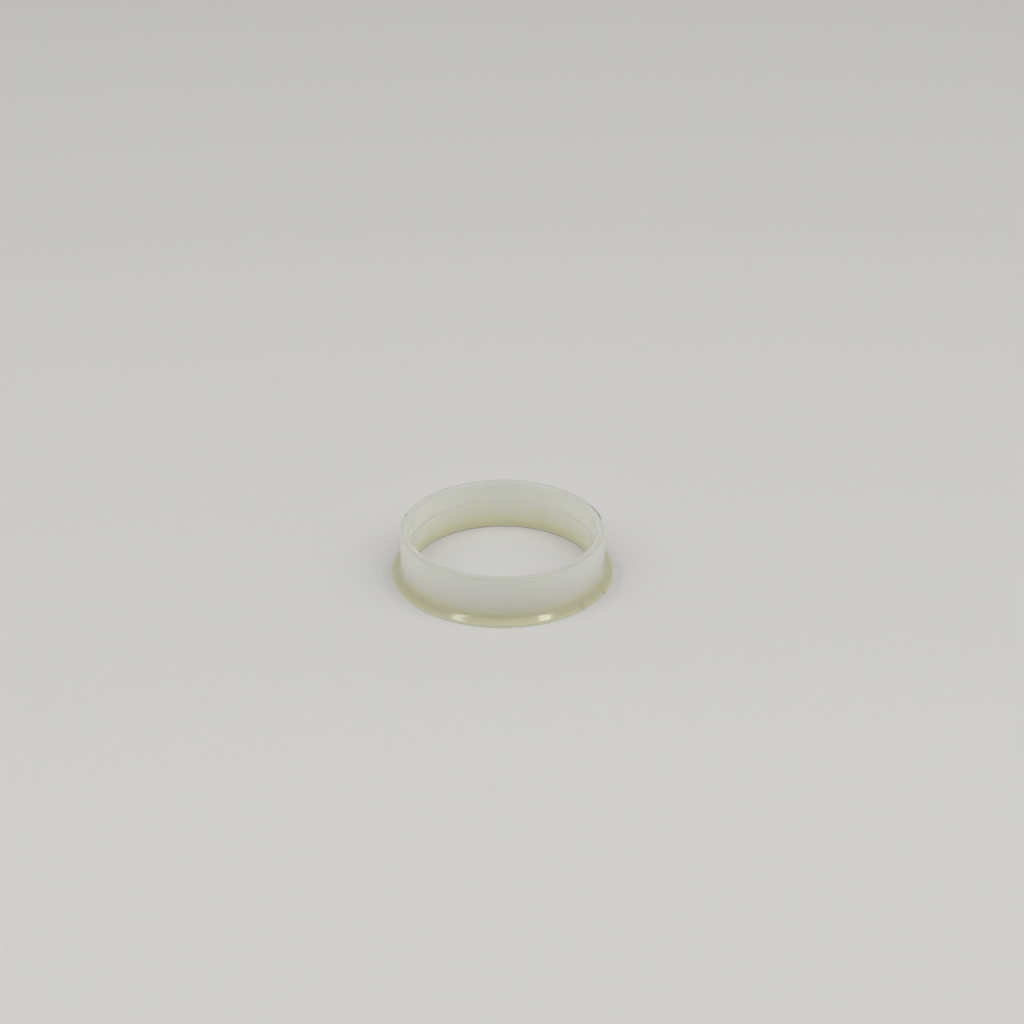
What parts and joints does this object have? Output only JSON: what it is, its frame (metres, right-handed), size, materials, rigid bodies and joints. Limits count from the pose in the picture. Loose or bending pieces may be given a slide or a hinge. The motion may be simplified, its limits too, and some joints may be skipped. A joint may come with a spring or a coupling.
{
  "type": "support ring",
  "caption": "Short thin-walled plastic ring with a stepped bore and a tapered flange at its foot, which holds and centres a round part.",
  "frame": {"origin": "centre of the flat underside, on the ring's axis", "axes": "+Z along the ring's axis, from the flange up to the rim; X and Y are free, because the ring is round"},
  "size_m": [0.0414, 0.0414, 0.0093],
  "materials": {
    "natural_nylon": "satin, slightly translucent, yellowed towards the foot"
  },
  "bodies": {
    "root": {"support_ring": "natural_nylon"}
  },
  "joints": []
}
